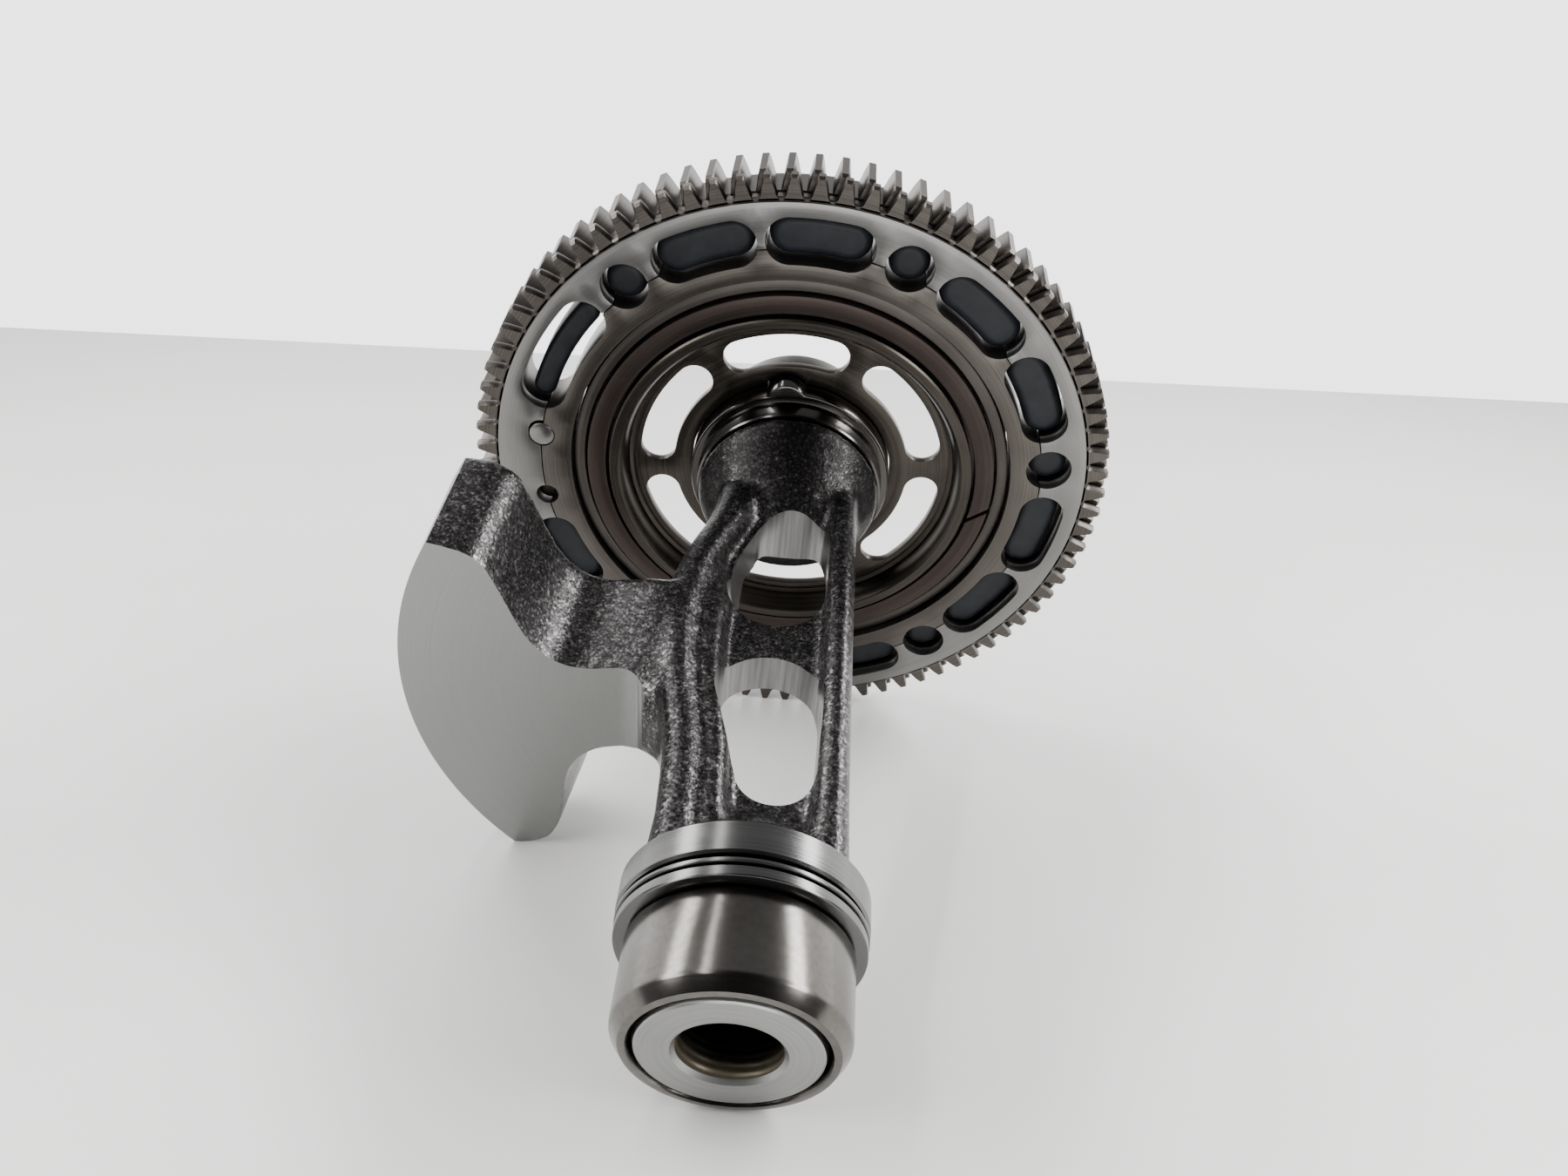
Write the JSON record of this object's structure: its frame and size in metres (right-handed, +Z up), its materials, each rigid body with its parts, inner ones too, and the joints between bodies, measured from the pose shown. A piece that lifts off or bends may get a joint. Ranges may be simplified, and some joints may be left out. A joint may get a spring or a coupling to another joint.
{
  "type": "balance crankshaft",
  "caption": "Forged balance crankshaft with an offset counterweight, a bearing race on each end and a split spur gear cushioned by rubber dampers on a spoked hub.",
  "frame": {"origin": "centre of the shaft's rear end face, at the gear end", "axes": "+Y along the shaft from the front race to the gear, +Z up, the counterweight towards -X"},
  "size_m": [0.1504, 0.1776, 0.1504],
  "materials": {
    "forged_steel": "as-forged, glittering grain",
    "ground_steel": "ground",
    "race_steel": "polished",
    "silver_plate": "satin",
    "gear_steel": "oiled, machined",
    "hub_steel": "oiled, turned",
    "friction_ring": "oiled",
    "damper_rubber": "matte"
  },
  "bodies": {
    "shaft": {"balance_shaft": "forged_steel", "dowel_pin": "ground_steel", "front_race": "race_steel", "gear_hub": "hub_steel", "hub_snap_ring": "ground_steel", "inner_damper_ring": "gear_steel", "rear_race": "race_steel", "round_damper_1": "damper_rubber", "round_damper_2": "damper_rubber", "round_damper_3": "damper_rubber", "round_damper_4": "damper_rubber", "round_damper_5": "damper_rubber", "slot_damper_01": "damper_rubber", "slot_damper_02": "damper_rubber", "slot_damper_03": "damper_rubber", "slot_damper_04": "damper_rubber", "slot_damper_05": "damper_rubber", "slot_damper_06": "damper_rubber", "slot_damper_07": "damper_rubber", "slot_damper_08": "damper_rubber", "slot_damper_09": "damper_rubber", "slot_damper_10": "damper_rubber", "slot_damper_11": "damper_rubber", "spacer_ring": "ground_steel", "split_friction_ring": "friction_ring", "thrust_washer": "ground_steel"},
    "driven_gear": {"main_gear": "gear_steel"},
    "antilash": {"antilash_gear": "silver_plate"}
  },
  "joints": [
    {"name": "gear_windup", "type": "hinge", "parent": "shaft", "child": "driven_gear", "pos_m": [0, -0.022, 0], "axis": [0, -1, 0], "range_deg": [-0.5, 0.5], "stiffness_Nm_per_rad": 20},
    {"name": "antilash_turn", "type": "hinge", "parent": "shaft", "child": "antilash", "pos_m": [0, -0.0286, 0], "axis": [0, -1, 0], "range_deg": [0, 0.8], "stiffness_Nm_per_rad": 5}
  ]
}
